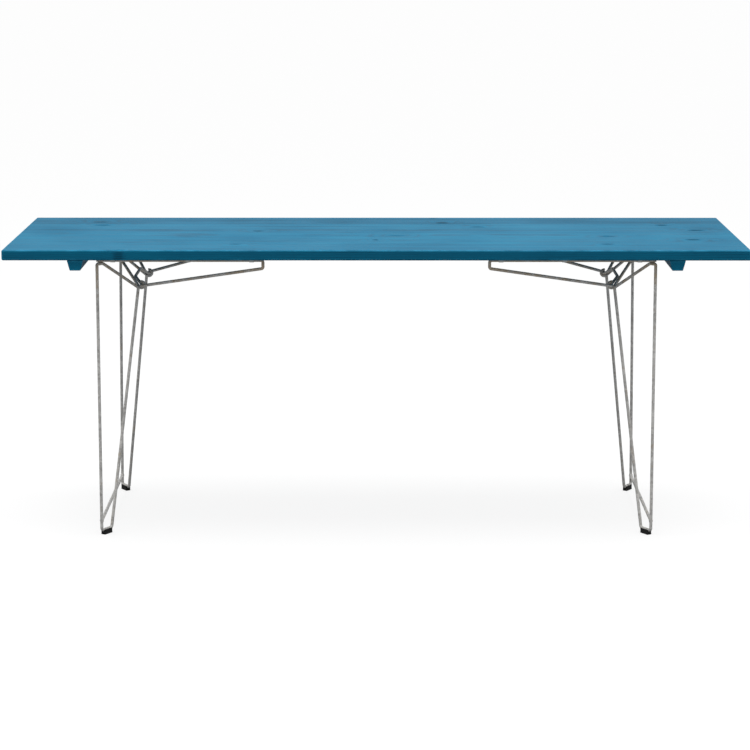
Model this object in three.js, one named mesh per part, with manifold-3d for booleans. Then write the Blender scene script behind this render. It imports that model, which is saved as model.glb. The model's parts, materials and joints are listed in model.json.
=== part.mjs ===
// Folding table: a lacquered softwood board on two wire leg frames.
// Each leg frame swings on a bent wire bracket that is clipped under the board.
// Millimetres. +Z up, +X along the board, -Y is the front, z = 0 is the floor.
import * as THREE from 'three';
import { mergeVertices } from 'three/addons/utils/BufferGeometryUtils.js';
import ManifoldModule from 'manifold-3d';

const wasm = await ManifoldModule();
wasm.setup();

// Board
const LENGTH = 1900;
const WIDTH = 670;
const HEIGHT = 760;
const BOARD_THICKNESS = 27;
const EDGE_RADIUS = 4.5;
const UNDERSIDE = HEIGHT - BOARD_THICKNESS;

// Wire, and the gap left between pieces that touch
const WIRE_RADIUS = 4;
const WIRE_SIDES = 10;
const GAP = 0.4;
const TOUCHING = 2 * WIRE_RADIUS + GAP;
const BEND_STEP = Math.PI / 9;

// Bracket wire: rail under the board, drop, sloping run, hinge pin, bridge
const RAIL_Y = 293;
const RAIL_Z = UNDERSIDE - 5.1;
const RAIL_OUTER_X = 714;
const DROP_X = 289;
const DROP_Z = UNDERSIDE - 26;
const DROP_BEND = 6;
const PIN_X = 618;
const PIN_Z = UNDERSIDE - 95.7;
const PIN_OUTER_Y = 130;
const PIN_INNER_Y = 100;
const PIN_BEND = 8;
const BRIDGE_X = 637;
const BRIDGE_Y = 71;
const BRIDGE_Z = UNDERSIDE - 78.5;

// Leg frame
const LEG_TOP_Z = RAIL_Z - TOUCHING;
const SHOULDER_OUTER = { x: 712.5, y: 293 };
const SHOULDER_INNER = { x: 697.4, y: 290 };
const SHOULDER_BEND = 5;
const KNEE = { x: PIN_X + 6.8, y: 119.5, z: PIN_Z - 5.5 };
const FOOT_OUTER = { x: 717, y: 266 };
const FOOT_INNER = { x: 695, y: 231 };
const FOOT_Z = 12.3;
const LEG_BEND = 7;
const TOP_BAR_X = 706.3;
const FOOT_BAR_Z = 38;
const BRACE_CORNER = { x: 702, z: UNDERSIDE - 10.5 };
const BRACE_BEND = 12;
const EYE_Y = 107;
const EYE_DRIFT = 2.5;
const EYE_END_ANGLE = 1.75;

// Foot pad: a channel that snaps over the flat of the foot
const PAD_LENGTH = 31;
const PAD_WIDTH = 14;
const PAD_HEIGHT = 13.5;
const PAD_CORNER = 2;

// Cleat: a batten across each end of the board
const CLEAT_X = 764.5;
const CLEAT_TOP = 41;
const CLEAT_BOTTOM = 27;
const CLEAT_HEIGHT = 26;
const CLEAT_LENGTH = 660;
const CLEAT_SCREW_Y = [-270, -90, 90, 270];

// Rail clips
const CLIP_X = [672, 480, 318];
const CLIP_WIDTH = 12;
const CLIP_STRAP = 1;
const CLIP_EAR = 22;
const CLIP_SCREW_Y = 13.5;

const CLEAT_SCREW = { head: 4, headHeight: 2.6, shank: 2, length: 40 };
const CLIP_SCREW = { head: 3.8, headHeight: 2.4, shank: 1.8, length: 15 };
const SCREW_SIDES = 12;
const ARC_SEGMENTS = 8;
const MERGE_DISTANCE = 1e-4;

const lacquer = { color: 0x2c7fa8, roughness: 0.45, metalness: 0 };
const galvanised = { color: 0x9b9b98, roughness: 0.5, metalness: 0.9 };
const zincPlate = { color: 0xb4b6b8, roughness: 0.35, metalness: 0.95 };
const blackPlastic = { color: 0x151515, roughness: 0.6, metalness: 0 };

const model = new THREE.Group();
const vec = (x, y, z) => new THREE.Vector3(x, y, z);

function addPart(name, geometry, finish, position = vec(0, 0, 0)) {
  const mesh = new THREE.Mesh(geometry, new THREE.MeshStandardMaterial(finish));
  mesh.name = name;
  mesh.position.copy(position);
  model.add(mesh);
}

// A path whose points are used one by one, so a straight run stays one segment.
class StationPath extends THREE.Curve {
  constructor(stations) {
    super();
    this.stations = stations;
    this.steps = stations.length - 1;
  }

  getPoint(t) {
    return this.stations[Math.round(t * this.steps)].clone();
  }

  getPointAt(u) {
    return this.getPoint(u);
  }

  getTangentAt(u, target = new THREE.Vector3()) {
    const i = Math.round(u * this.steps);
    const here = this.stations[i];
    target.set(0, 0, 0);
    if (i > 0) target.add(here.clone().sub(this.stations[i - 1]).normalize());
    if (i < this.steps) target.add(this.stations[i + 1].clone().sub(here).normalize());
    return target.normalize();
  }
}

// Straight runs between corners, with a round bend at each inner corner.
function bentPath(corners, bendRadius) {
  const stations = [corners[0]];
  for (let i = 1; i < corners.length - 1; i += 1) {
    const arriving = corners[i].clone().sub(corners[i - 1]).normalize();
    const leaving = corners[i + 1].clone().sub(corners[i]).normalize();
    const turn = arriving.angleTo(leaving);
    const radius = Array.isArray(bendRadius) ? bendRadius[i - 1] : bendRadius;
    const start = corners[i].clone().addScaledVector(arriving, -radius * Math.tan(turn / 2));
    const inward = leaving.clone().addScaledVector(arriving, -Math.cos(turn)).normalize();
    const count = Math.max(2, Math.ceil(turn / BEND_STEP));
    for (let k = 0; k <= count; k += 1) {
      const angle = (turn * k) / count;
      stations.push(start.clone()
        .addScaledVector(arriving, radius * Math.sin(angle))
        .addScaledVector(inward, radius * (1 - Math.cos(angle))));
    }
  }
  stations.push(corners[corners.length - 1]);
  return stations;
}

function wireGeometry(stations) {
  const section = new THREE.Shape();
  for (let i = 0; i < WIRE_SIDES; i += 1) {
    const angle = (2 * Math.PI * i) / WIRE_SIDES;
    const point = [WIRE_RADIUS * Math.cos(angle), WIRE_RADIUS * Math.sin(angle)];
    if (i === 0) section.moveTo(...point);
    else section.lineTo(...point);
  }
  const path = new StationPath(stations);
  return new THREE.ExtrudeGeometry(section, { steps: path.steps, extrudePath: path });
}

function toManifold(geometry) {
  const bare = geometry.clone();
  bare.deleteAttribute('normal');
  bare.deleteAttribute('uv');
  const merged = mergeVertices(bare, MERGE_DISTANCE);
  return new wasm.Manifold(new wasm.Mesh({
    numProp: 3,
    vertProperties: new Float32Array(merged.attributes.position.array),
    triVerts: new Uint32Array(merged.index.array),
  }));
}

function cut(geometry, tools) {
  let solid = toManifold(geometry);
  for (const tool of tools) solid = solid.subtract(toManifold(tool));
  const mesh = solid.getMesh();
  const result = new THREE.BufferGeometry();
  result.setAttribute('position', new THREE.BufferAttribute(mesh.vertProperties, 3));
  result.setIndex(new THREE.BufferAttribute(mesh.triVerts, 1));
  return result;
}

// A screw driven upwards: its head's underside is at z = 0. With grow it is its own hole.
function screwGeometry(screw, grow = 0) {
  const profile = [
    new THREE.Vector2(0, -screw.headHeight - grow),
    new THREE.Vector2(screw.head + grow, -screw.headHeight - grow),
    new THREE.Vector2(screw.head + grow, grow),
    new THREE.Vector2(screw.shank + grow, grow),
    new THREE.Vector2(screw.shank + grow, screw.length - screw.shank),
    new THREE.Vector2(0, screw.length + grow),
  ];
  return new THREE.LatheGeometry(profile, SCREW_SIDES).rotateX(Math.PI / 2);
}

function placed(geometry, position) {
  return geometry.translate(position.x, position.y, position.z);
}

// Where the screws go
const cleatScrews = [];
const clipScrews = [];
for (const [sideName, side] of [['left', -1], ['right', 1]]) {
  CLEAT_SCREW_Y.forEach((y, i) => {
    const z = UNDERSIDE - GAP - CLEAT_HEIGHT + CLEAT_SCREW.headHeight + GAP;
    cleatScrews.push({ name: `${sideName}_cleat_screw_${i + 1}`, side, at: vec(side * CLEAT_X, y, z) });
  });
  for (const [rowName, row] of [['front', -1], ['rear', 1]]) {
    CLIP_X.forEach((x, i) => {
      const at = vec(side * x, row * (RAIL_Y - CLIP_SCREW_Y), UNDERSIDE - CLIP_STRAP - 2 * GAP);
      clipScrews.push({ name: `${sideName}_${rowName}_clip_${i + 1}`, side, row, x: side * x, at });
    });
  }
}

// Board, with eased edges and a blind hole for each screw
function boardGeometry() {
  const halfX = LENGTH / 2 - EDGE_RADIUS;
  const halfY = WIDTH / 2 - EDGE_RADIUS;
  const outline = new THREE.Shape();
  outline.moveTo(-halfX, -halfY);
  outline.lineTo(halfX, -halfY);
  outline.lineTo(halfX, halfY);
  outline.lineTo(-halfX, halfY);
  const slab = new THREE.ExtrudeGeometry(outline, {
    depth: BOARD_THICKNESS - 2 * EDGE_RADIUS,
    bevelThickness: EDGE_RADIUS,
    bevelSize: EDGE_RADIUS,
    bevelSegments: 3,
  });
  slab.translate(0, 0, UNDERSIDE + EDGE_RADIUS);
  const holes = [
    ...cleatScrews.map((screw) => placed(screwGeometry(CLEAT_SCREW, GAP), screw.at)),
    ...clipScrews.map((screw) => placed(screwGeometry(CLIP_SCREW, GAP), screw.at)),
  ];
  return cut(slab, holes);
}

function cleatGeometry(side) {
  const outline = new THREE.Shape();
  outline.moveTo(-CLEAT_BOTTOM / 2, 0);
  outline.lineTo(CLEAT_BOTTOM / 2, 0);
  outline.lineTo(CLEAT_TOP / 2, CLEAT_HEIGHT);
  outline.lineTo(-CLEAT_TOP / 2, CLEAT_HEIGHT);
  const batten = new THREE.ExtrudeGeometry(outline, { depth: CLEAT_LENGTH, bevelEnabled: false });
  batten.rotateX(Math.PI / 2);
  batten.translate(side * CLEAT_X, CLEAT_LENGTH / 2, UNDERSIDE - GAP - CLEAT_HEIGHT);
  const holes = cleatScrews.filter((screw) => screw.side === side)
    .map((screw) => placed(screwGeometry(CLEAT_SCREW, GAP), screw.at));
  return cut(batten, holes);
}

// One strap bent round the rail, with an ear on the side towards the board's middle
function clipGeometry(clip) {
  const inner = WIRE_RADIUS + GAP;
  const outer = inner + CLIP_STRAP;
  const top = UNDERSIDE - GAP - RAIL_Z;
  const outline = new THREE.Shape();
  outline.moveTo(-inner, top);
  outline.lineTo(-outer, top);
  outline.lineTo(-outer, 0);
  outline.absarc(0, 0, outer, Math.PI, 2 * Math.PI, false);
  outline.lineTo(outer, top - CLIP_STRAP);
  outline.lineTo(CLIP_EAR, top - CLIP_STRAP);
  outline.lineTo(CLIP_EAR, top);
  outline.lineTo(inner, top);
  outline.lineTo(inner, 0);
  outline.absarc(0, 0, inner, 2 * Math.PI, Math.PI, true);
  const strap = new THREE.ExtrudeGeometry(outline, {
    depth: CLIP_WIDTH,
    bevelEnabled: false,
    curveSegments: ARC_SEGMENTS,
  });
  strap.translate(0, 0, -CLIP_WIDTH / 2);
  strap.applyMatrix4(new THREE.Matrix4().makeBasis(vec(0, 1, 0), vec(0, 0, 1), vec(1, 0, 0)));
  if (clip.row > 0) strap.rotateZ(Math.PI);
  strap.translate(clip.x, clip.row * RAIL_Y, RAIL_Z);
  return cut(strap, [placed(screwGeometry(CLIP_SCREW, GAP), clip.at)]);
}

// One wire from the front rail's end, round both hinge pins, to the rear rail's end
function bracketStations(side) {
  const halfCorners = (row) => [
    vec(side * RAIL_OUTER_X, row * RAIL_Y, RAIL_Z),
    vec(side * DROP_X, row * RAIL_Y, RAIL_Z),
    vec(side * DROP_X, row * RAIL_Y, DROP_Z),
    vec(side * PIN_X, row * PIN_OUTER_Y, PIN_Z),
    vec(side * PIN_X, row * PIN_INNER_Y, PIN_Z),
    vec(side * BRIDGE_X, row * BRIDGE_Y, BRIDGE_Z),
  ];
  const halfBends = [DROP_BEND, DROP_BEND, PIN_BEND, PIN_BEND, PIN_BEND];
  return bentPath(
    [...halfCorners(-1), ...halfCorners(1).reverse()],
    [...halfBends, ...halfBends.slice().reverse()],
  );
}

// One wire bent into a triangle: foot, outer wire, shoulder, diagonal, knee, inner wire.
// Its two ends meet under the foot pad.
function legStations(side, row) {
  const place = (point, z) => vec(side * point.x, row * point.y, z);
  const footOuter = place(FOOT_OUTER, FOOT_Z);
  const footInner = place(FOOT_INNER, FOOT_Z);
  const middle = footOuter.clone().lerp(footInner, 0.5);
  const along = footInner.clone().sub(footOuter).normalize();
  return bentPath([
    middle.clone().addScaledVector(along, -GAP / 2),
    footOuter,
    place(SHOULDER_OUTER, LEG_TOP_Z),
    place(SHOULDER_INNER, LEG_TOP_Z),
    place(KNEE, KNEE.z),
    footInner,
    middle.clone().addScaledVector(along, GAP / 2),
  ], [LEG_BEND, SHOULDER_BEND, SHOULDER_BEND, LEG_BEND, LEG_BEND]);
}

// The V brace: an apex by the top bar, and at each end an eye curled round the hinge pin
function braceStations(side) {
  const apex = vec(side * BRACE_CORNER.x, 0, BRACE_CORNER.z);
  const reach = Math.hypot(BRACE_CORNER.x - PIN_X, BRACE_CORNER.z - PIN_Z);
  const apexAngle = Math.atan2(BRACE_CORNER.z - PIN_Z, PIN_X - BRACE_CORNER.x);
  const startAngle = apexAngle + Math.acos(TOUCHING / reach) - 2 * Math.PI;
  const eye = (row) => {
    const count = Math.ceil((EYE_END_ANGLE - startAngle) / BEND_STEP);
    return Array.from({ length: count + 1 }, (_, k) => {
      const share = k / count;
      const angle = startAngle + (EYE_END_ANGLE - startAngle) * share;
      const drift = EYE_DRIFT * (1 - (1 - share) ** 2);
      return vec(
        side * (PIN_X - TOUCHING * Math.cos(angle)),
        row * (EYE_Y + drift),
        PIN_Z + TOUCHING * Math.sin(angle),
      );
    });
  };
  const front = eye(-1).reverse();
  const rear = eye(1);
  const straight = bentPath([front[front.length - 1], apex, rear[0]], BRACE_BEND);
  return [...front.slice(0, -1), ...straight, ...rear.slice(1)];
}

function padGeometry(side, row) {
  const slot = WIRE_RADIUS + GAP;
  const half = PAD_WIDTH / 2;
  const outline = new THREE.Shape();
  outline.moveTo(-half + PAD_CORNER, 0);
  outline.lineTo(half - PAD_CORNER, 0);
  outline.lineTo(half, PAD_CORNER);
  outline.lineTo(half, PAD_HEIGHT);
  outline.lineTo(slot, PAD_HEIGHT);
  outline.lineTo(slot, FOOT_Z);
  outline.absarc(0, FOOT_Z, slot, 0, Math.PI, true);
  outline.lineTo(-slot, PAD_HEIGHT);
  outline.lineTo(-half, PAD_HEIGHT);
  outline.lineTo(-half, PAD_CORNER);
  const pad = new THREE.ExtrudeGeometry(outline, {
    depth: PAD_LENGTH,
    bevelEnabled: false,
    curveSegments: ARC_SEGMENTS,
  });
  pad.translate(0, 0, -PAD_LENGTH / 2);
  pad.rotateX(Math.PI / 2);
  const footOuter = vec(side * FOOT_OUTER.x, row * FOOT_OUTER.y, 0);
  const footInner = vec(side * FOOT_INNER.x, row * FOOT_INNER.y, 0);
  const along = footOuter.clone().sub(footInner);
  pad.rotateZ(Math.atan2(along.y, along.x) - Math.PI / 2);
  return placed(pad, footOuter.lerp(footInner, 0.5));
}

// Level bar across the leg frame, butted against the two leg wires
function barStations(x, halfLength, z) {
  return [vec(x, -halfLength, z), vec(x, halfLength, z)];
}

const upShare = (FOOT_BAR_Z - FOOT_Z) / (LEG_TOP_Z - FOOT_Z);
const footBarX = THREE.MathUtils.lerp(FOOT_OUTER.x, SHOULDER_OUTER.x, upShare);
const footBarY = THREE.MathUtils.lerp(FOOT_OUTER.y, SHOULDER_OUTER.y, upShare) - WIRE_RADIUS - GAP;
const shoulderShare = (SHOULDER_OUTER.x - TOP_BAR_X) / (SHOULDER_OUTER.x - SHOULDER_INNER.x);
const topBarY = THREE.MathUtils.lerp(SHOULDER_OUTER.y, SHOULDER_INNER.y, shoulderShare)
  - WIRE_RADIUS - 2 * GAP;

addPart('table_top', boardGeometry(), lacquer);
for (const [sideName, side] of [['left', -1], ['right', 1]]) {
  addPart(`${sideName}_cleat`, cleatGeometry(side), lacquer);
  addPart(`${sideName}_bracket_wire`, wireGeometry(bracketStations(side)), galvanised);
  const topBar = barStations(side * TOP_BAR_X, topBarY, LEG_TOP_Z);
  const footBar = barStations(side * footBarX, footBarY, FOOT_BAR_Z);
  addPart(`${sideName}_top_bar`, wireGeometry(topBar), galvanised);
  addPart(`${sideName}_foot_bar`, wireGeometry(footBar), galvanised);
  addPart(`${sideName}_brace`, wireGeometry(braceStations(side)), galvanised);
  for (const [rowName, row] of [['front', -1], ['rear', 1]]) {
    addPart(`${sideName}_${rowName}_leg`, wireGeometry(legStations(side, row)), galvanised);
    addPart(`${sideName}_${rowName}_foot_pad`, padGeometry(side, row), blackPlastic);
  }
}
for (const screw of cleatScrews) addPart(screw.name, screwGeometry(CLEAT_SCREW), zincPlate, screw.at);
for (const clip of clipScrews) {
  addPart(clip.name, clipGeometry(clip), zincPlate);
  addPart(`${clip.name}_screw`, screwGeometry(CLIP_SCREW), zincPlate, clip.at);
}

export default model;
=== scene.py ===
import json
import math
import random

import bmesh
import bpy
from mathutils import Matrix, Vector


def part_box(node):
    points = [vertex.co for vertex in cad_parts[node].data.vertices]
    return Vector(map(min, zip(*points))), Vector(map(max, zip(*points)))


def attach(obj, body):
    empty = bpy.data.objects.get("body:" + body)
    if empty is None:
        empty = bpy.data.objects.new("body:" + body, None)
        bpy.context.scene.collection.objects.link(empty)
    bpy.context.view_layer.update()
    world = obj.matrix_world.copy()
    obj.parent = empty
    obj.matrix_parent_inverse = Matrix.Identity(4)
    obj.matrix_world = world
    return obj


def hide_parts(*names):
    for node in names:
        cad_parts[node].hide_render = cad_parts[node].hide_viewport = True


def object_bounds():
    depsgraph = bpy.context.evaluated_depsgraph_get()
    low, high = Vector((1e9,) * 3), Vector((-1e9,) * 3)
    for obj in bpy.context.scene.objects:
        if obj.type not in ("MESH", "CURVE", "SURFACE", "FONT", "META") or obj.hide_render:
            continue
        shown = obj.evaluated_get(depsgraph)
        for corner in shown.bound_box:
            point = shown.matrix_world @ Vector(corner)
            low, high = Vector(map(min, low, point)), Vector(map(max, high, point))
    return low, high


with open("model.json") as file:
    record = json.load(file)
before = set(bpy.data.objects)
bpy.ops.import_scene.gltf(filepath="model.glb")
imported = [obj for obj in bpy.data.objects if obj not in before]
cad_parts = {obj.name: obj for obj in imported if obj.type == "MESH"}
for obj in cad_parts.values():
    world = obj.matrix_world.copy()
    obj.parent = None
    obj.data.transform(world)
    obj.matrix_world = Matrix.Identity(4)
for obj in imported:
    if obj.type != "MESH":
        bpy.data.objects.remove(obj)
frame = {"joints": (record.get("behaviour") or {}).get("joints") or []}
cad_low, cad_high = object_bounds()
MM = 0.001

# ---------------------------------------------------------------------------------------------
# Studio
# A pale floor that runs on without a horizon, under an overhead softbox and an even pale sky,
# which is brighter to the left and right so that round wires show a light side.
# ---------------------------------------------------------------------------------------------
CAMERA_IN_FRONT = 6.275
CAMERA_HEIGHT = 1.622
CAMERA_RIGHT = 0.010
CAMERA_DOWN = 10.68
CAMERA_YAW = 0.12
LENS = 120
FLOOR_HALF = 90
SOFTBOX_AT = (0.0, -0.15, 3.6)
SOFTBOX_AIM = (0, 0, 0.5)
SOFTBOX_SIZE = (4.6, 2.4)
SOFTBOX_POWER = 125


def linear(hex_colour):
    """An sRGB colour such as "2c7fa8" as the linear RGBA that a shader takes."""
    parts = [int(hex_colour[i:i + 2], 16) / 255 for i in (0, 2, 4)]
    return (*(c / 12.92 if c <= 0.04045 else ((c + 0.055) / 1.055) ** 2.4 for c in parts), 1)


def add(tree, kind, inputs=None, **settings):
    """Adds a node with its settings. An input takes a value, or a socket or node to link from."""
    made = tree.nodes.new(kind)
    for name, value in settings.items():
        setattr(made, name, value)
    for key, value in (inputs or {}).items():
        if isinstance(value, bpy.types.Node):
            value = value.outputs[0]
        if isinstance(value, bpy.types.NodeSocket):
            tree.links.new(value, made.inputs[key])
        else:
            made.inputs[key].default_value = value
    return made


def new_material(name):
    material = bpy.data.materials.new(name)
    material.use_nodes = True
    material.node_tree.nodes.clear()
    return material, material.node_tree


scene = bpy.context.scene
scene.view_settings.view_transform = "Standard"

camera_data = bpy.data.cameras.new("camera")
camera_data.lens = LENS
camera_data.sensor_width = 36
camera_data.clip_end = 300
camera = bpy.data.objects.new("camera", camera_data)
camera.location = (CAMERA_RIGHT, cad_low.y - CAMERA_IN_FRONT, CAMERA_HEIGHT)
camera.rotation_euler = (math.radians(90 - CAMERA_DOWN), 0, math.radians(CAMERA_YAW))
scene.collection.objects.link(camera)
scene.camera = camera

softbox_data = bpy.data.lights.new("softbox", "AREA")
softbox_data.shape = "RECTANGLE"
softbox_data.size, softbox_data.size_y = SOFTBOX_SIZE
softbox_data.energy = SOFTBOX_POWER
softbox = bpy.data.objects.new("softbox", softbox_data)
softbox.location = SOFTBOX_AT
softbox_way = Vector(SOFTBOX_AIM) - Vector(SOFTBOX_AT)
softbox.rotation_euler = softbox_way.to_track_quat("-Z", "Y").to_euler()
scene.collection.objects.link(softbox)

world = bpy.data.worlds.new("studio_sky")
world.use_nodes = True
world.node_tree.nodes.clear()
sky = world.node_tree
sky_direction = add(sky, "ShaderNodeTexCoord").outputs["Generated"]
sky_parts = add(sky, "ShaderNodeSeparateXYZ", {0: sky_direction})
sky_level = add(sky, "ShaderNodeMapRange", {
    0: sky_parts.outputs["Z"], "From Min": 0.0, "From Max": 0.9, "To Min": 0.36, "To Max": 1.10})
sideways = add(sky, "ShaderNodeMath", {0: sky_parts.outputs["X"]}, operation="ABSOLUTE")
side_light = add(sky, "ShaderNodeMapRange",
                 {0: sideways, "From Min": 0.55, "From Max": 0.95, "To Min": 0.0, "To Max": 0.35})
sky_total = add(sky, "ShaderNodeMath", {0: sky_level, 1: side_light}, operation="ADD")
sky_light = add(sky, "ShaderNodeBackground", {"Color": linear("ffffff"), "Strength": sky_total})
sky_seen = add(sky, "ShaderNodeBackground", {"Color": linear("ffffff"), "Strength": 1.0})
to_camera = add(sky, "ShaderNodeLightPath").outputs["Is Camera Ray"]
sky_mix = add(sky, "ShaderNodeMixShader", {0: to_camera, 1: sky_light, 2: sky_seen})
add(sky, "ShaderNodeOutputWorld", {0: sky_mix})
scene.world = world

floor_mesh = bpy.data.meshes.new("studio_floor")
floor_mesh.from_pydata(
    [(-FLOOR_HALF, -FLOOR_HALF, 0), (FLOOR_HALF, -FLOOR_HALF, 0),
     (FLOOR_HALF, FLOOR_HALF, 0), (-FLOOR_HALF, FLOOR_HALF, 0)],
    [], [(0, 1, 2, 3)])
floor = bpy.data.objects.new("studio_floor", floor_mesh)
scene.collection.objects.link(floor)
floor_paint, tree = new_material("white_studio_paint")
floor_glow = add(tree, "ShaderNodeEmission", {"Color": linear("ffffff"), "Strength": 0.82})
floor_white = add(tree, "ShaderNodeBsdfDiffuse", {"Color": linear("737373")})
floor_lit = add(tree, "ShaderNodeAddShader", {0: floor_glow, 1: floor_white})
floor_bounce = add(tree, "ShaderNodeBsdfDiffuse", {"Color": linear("8a8c8e")})
seen = add(tree, "ShaderNodeLightPath").outputs["Is Camera Ray"]
floor_mix = add(tree, "ShaderNodeMixShader", {0: seen, 1: floor_bounce, 2: floor_lit})
add(tree, "ShaderNodeOutputMaterial", {0: floor_mix})
floor.data.materials.append(floor_paint)

# ---------------------------------------------------------------------------------------------
# Table top
# A board of spruce staves, edge-glued, planed and eased all round. It is stained petrol blue and
# brushed with a satin lacquer, so knots and year rings show through as faint darker figure.
# ---------------------------------------------------------------------------------------------
BOARD_EASING = 4.5 * MM
STAVE_WIDTH = 96 * MM
RING_WIDTH = 5.5 * MM
FIBRE_WIDTH = 0.9 * MM
RUB_AND_HIGHLIGHT_REACH = 7 * MM
KNOT_PULL = (20 * MM, 9 * MM)
KNOT_SWELL = 12 * MM
# Knots: how far apart along a stave, radius across the grain, how much longer along it, depth of
# tone, and the share of a stave's width that they keep off its edges
KNOTS_APART = (450 * MM, 1250 * MM)
KNOT_RADIUS = (7 * MM, 14 * MM)
KNOT_STRETCH = (1.2, 2.0)
KNOT_DEPTH = (0.4, 1.0)
KNOT_OFF_EDGE = 0.2
KNOT_SEED = 3


def branch_knots(low, high):
    """Knots at random down each stave of the board.

    Each is its place along and across, radius along the grain, radius across and depth of tone.
    """
    draw = random.Random(KNOT_SEED)
    knots = []
    for number in range(math.floor(low.y / STAVE_WIDTH), math.ceil(high.y / STAVE_WIDTH)):
        along = low.x + draw.uniform(0, KNOTS_APART[1])
        while along < high.x:
            across = STAVE_WIDTH * (number + draw.uniform(KNOT_OFF_EDGE, 1 - KNOT_OFF_EDGE))
            radius = draw.uniform(*KNOT_RADIUS)
            stretch = draw.uniform(*KNOT_STRETCH)
            depth = draw.uniform(*KNOT_DEPTH)
            if low.y < across < high.y:
                knots.append((along, across, radius * stretch, radius, depth))
            along += draw.uniform(*KNOTS_APART)
    return knots


def lacquered_softwood(name, low, high, grain_turn, stave, knots):
    """Stained and lacquered spruce, with year rings round a pith that runs along each stave.

    The stain is a deep petrol blue and the lacquer over it a thin satin, so the eye gets a soft
    pale sheen at a low angle, darker late wood and knots, and eased edges a little pale: partly
    rubbed by handling, partly a painted highlight.
    """
    material, tree = new_material(name)
    place = add(tree, "ShaderNodeTexCoord").outputs["Object"]
    grain_way = add(tree, "ShaderNodeMapping", {0: place, "Rotation": (0, 0, grain_turn)})
    across = add(tree, "ShaderNodeSeparateXYZ", {0: grain_way}).outputs["Y"]

    # Each stave comes from another place in another tree
    stave_across = add(tree, "ShaderNodeMath", {0: across, 1: stave}, operation="DIVIDE")
    stave_number = add(tree, "ShaderNodeMath", {0: stave_across}, operation="FLOOR")
    stave_tone = add(tree, "ShaderNodeTexWhiteNoise", {"W": stave_number}, noise_dimensions="1D")
    from_tree = add(tree, "ShaderNodeVectorMath", {
        0: stave_tone.outputs["Color"], 1: (7.0, 0.12, 0.06), 2: grain_way}, operation="MULTIPLY_ADD")

    # Knots, pulled a little out of round, with the grain swelling past them
    ragged = add(tree, "ShaderNodeTexNoise", {0: place, "Scale": 1 / (9 * MM), "Detail": 4.0})
    pulled = add(tree, "ShaderNodeVectorMath", {
        0: ragged.outputs["Color"], 1: (*KNOT_PULL, 0.0), 2: place}, operation="MULTIPLY_ADD")
    knot, swelling = 0.0, (0.0, 0.0, 0.0)
    for knot_x, knot_y, half_x, half_y, depth in knots:
        off_x, off_y = knot_x + KNOT_PULL[0] / 2, knot_y + KNOT_PULL[1] / 2
        local = add(tree, "ShaderNodeMapping", {
            0: pulled, "Location": (-off_x / half_x, -off_y / half_y, 0),
            "Scale": (1 / half_x, 1 / half_y, 0)})
        reach = add(tree, "ShaderNodeVectorMath", {0: local}, operation="LENGTH").outputs["Value"]
        core = add(tree, "ShaderNodeMapRange", {
            "Value": reach, "From Min": 0.35, "From Max": 1.25, "To Min": depth, "To Max": 0.0},
            interpolation_type="SMOOTHSTEP")
        round_it = add(tree, "ShaderNodeMapRange", {
            "Value": reach, "From Min": 0.0, "From Max": 4.5, "To Min": 1.0, "To Max": 0.0},
            interpolation_type="SMOOTHERSTEP")
        knot = add(tree, "ShaderNodeMath", {0: core, 1: knot}, operation="MAXIMUM")
        swelling = add(tree, "ShaderNodeVectorMath", {0: round_it, 1: swelling}, operation="MAXIMUM")

    # Year rings, long streaks and single fibres
    ring_place = add(tree, "ShaderNodeVectorMath", {
        0: (0.0, KNOT_SWELL, KNOT_SWELL), 1: swelling, 2: from_tree}, operation="MULTIPLY_ADD")
    slender = add(tree, "ShaderNodeMapping", {0: ring_place, "Scale": (0.12, 1.0, 1.0)})
    rings = add(tree, "ShaderNodeTexWave", {
        0: slender, "Scale": math.tau / 20 / RING_WIDTH, "Distortion": 5.0, "Detail": 3.0,
        "Detail Scale": 0.6}, wave_type="RINGS", rings_direction="X", wave_profile="SAW")
    late_wood = add(tree, "ShaderNodeMapRange", {
        "Value": rings.outputs["Fac"], "From Min": 0.35, "From Max": 0.95},
        interpolation_type="SMOOTHSTEP")
    streak_place = add(tree, "ShaderNodeMapping", {0: from_tree, "Scale": (2.4, 42.0, 42.0)})
    streak = add(tree, "ShaderNodeTexNoise", {0: streak_place, "Scale": 1.0, "Detail": 6.0})
    fibre_place = add(tree, "ShaderNodeMapping", {
        0: from_tree, "Scale": (0.03 / FIBRE_WIDTH, 1 / FIBRE_WIDTH, 1 / FIBRE_WIDTH)})
    fibre = add(tree, "ShaderNodeTexNoise", {0: fibre_place, "Scale": 1.0, "Detail": 3.0})
    cloud = add(tree, "ShaderNodeTexNoise", {0: place, "Scale": 4.2, "Detail": 4.0})

    # Late wood, streaks and knots take more stain, and each stave takes it in its own strength
    stain_depth = 0.0
    for share, figure in ((0.17, late_wood), (0.42, streak), (0.18, fibre), (0.42, cloud),
                          (0.16, stave_tone), (0.36, knot)):
        stain_depth = add(tree, "ShaderNodeMath", {0: figure, 1: share, 2: stain_depth},
                          operation="MULTIPLY_ADD")
    stain = add(tree, "ShaderNodeValToRGB", {0: stain_depth})
    stain.color_ramp.elements[0].position, stain.color_ramp.elements[0].color = 0.25, linear("00708f")
    stain.color_ramp.elements[1].position, stain.color_ramp.elements[1].color = 1.15, linear("00374c")
    stain.color_ramp.elements.new(0.64).color = linear("005b7a")
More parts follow.
